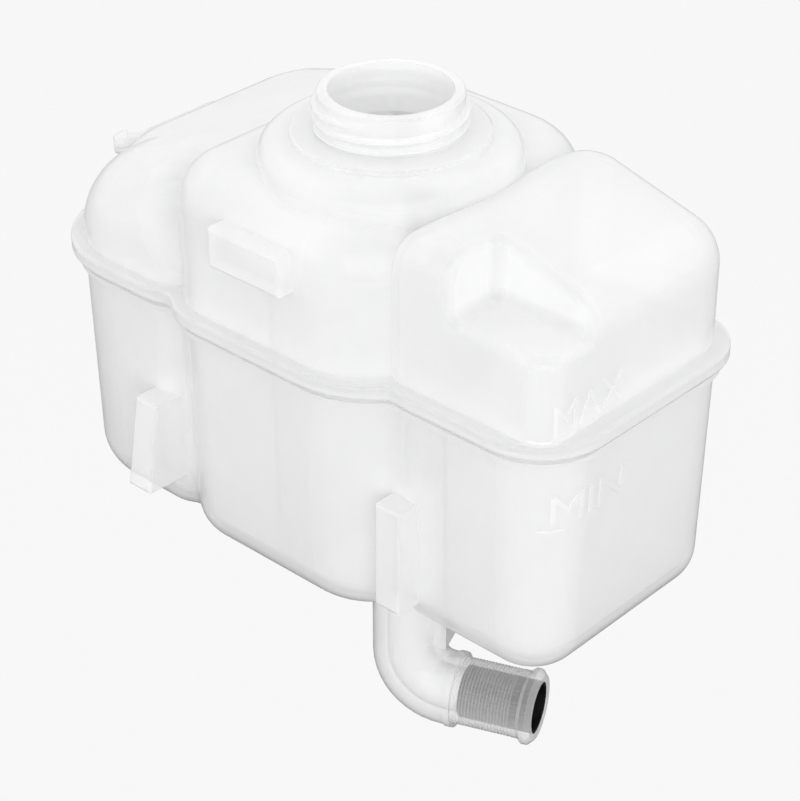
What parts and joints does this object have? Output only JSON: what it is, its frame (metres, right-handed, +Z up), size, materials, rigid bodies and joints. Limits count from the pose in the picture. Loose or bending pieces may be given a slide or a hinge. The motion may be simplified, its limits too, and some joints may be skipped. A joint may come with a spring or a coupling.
{
  "type": "coolant expansion tank",
  "caption": "Translucent welded coolant expansion tank with rounded lobes, open filler neck on a round platform, vent nipple, guide rails and a bottom elbow with a ringed hose spigot.",
  "frame": {"origin": "centre of the filler mouth, at the top of the neck", "axes": "+Z up the filler neck, +X along the row of lobes towards the notched one, -Y towards the side with the guide rails"},
  "size_m": [0.2835, 0.1763, 0.2646],
  "materials": {
    "natural_plastic": "translucent natural polypropylene, satin as moulded",
    "dark_sleeve": "dark, satin"
  },
  "bodies": {
    "root": {"upper_shell": "natural_plastic", "lower_shell": "natural_plastic", "spigot_sleeve": "dark_sleeve"}
  },
  "joints": []
}
